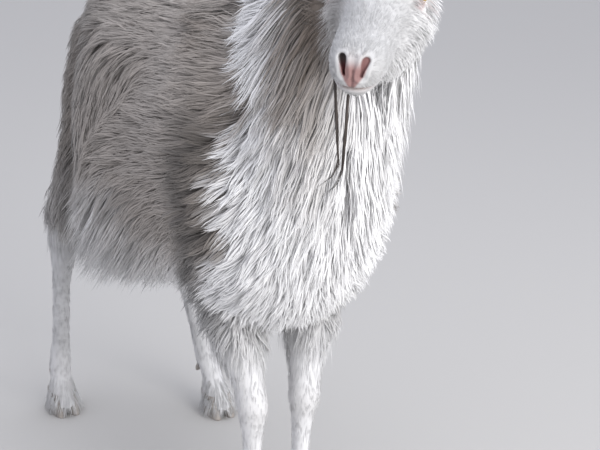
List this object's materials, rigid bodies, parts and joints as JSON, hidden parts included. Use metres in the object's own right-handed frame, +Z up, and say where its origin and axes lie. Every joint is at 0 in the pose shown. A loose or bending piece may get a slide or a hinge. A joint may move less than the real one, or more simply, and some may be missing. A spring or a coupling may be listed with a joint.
{
  "type": "saanen goat",
  "caption": "Life-size standing saanen goat with a long shaggy coat, a thin beard, cloven hooves and its head turned to its right.",
  "frame": {"origin": "on the ground, under the middle of the whole goat's box", "axes": "+Z up, the goat faces -Y, its left side is +X"},
  "size_m": [0.3612, 1.0472, 0.899],
  "materials": {
    "white_coat": "long matt hair, off-white",
    "grey_coat": "long matt hair, dusty grey over white",
    "eye": "wet amber eye with a level slot pupil",
    "hoof_horn": "dull horn, slightly worn"
  },
  "bodies": {
    "root": {"head": "white_coat", "neck": "white_coat", "torso": "grey_coat", "tail": "grey_coat", "ear_left": "white_coat", "ear_right": "white_coat", "foreleg_left": "white_coat", "foreleg_right": "white_coat", "hindleg_left": "white_coat", "hindleg_right": "white_coat", "eye_left": "eye", "eye_right": "eye", "forehoof_left_outer": "hoof_horn", "forehoof_left_inner": "hoof_horn", "forehoof_right_outer": "hoof_horn", "forehoof_right_inner": "hoof_horn", "hindhoof_left_outer": "hoof_horn", "hindhoof_left_inner": "hoof_horn", "hindhoof_right_outer": "hoof_horn", "hindhoof_right_inner": "hoof_horn"}
  },
  "joints": []
}
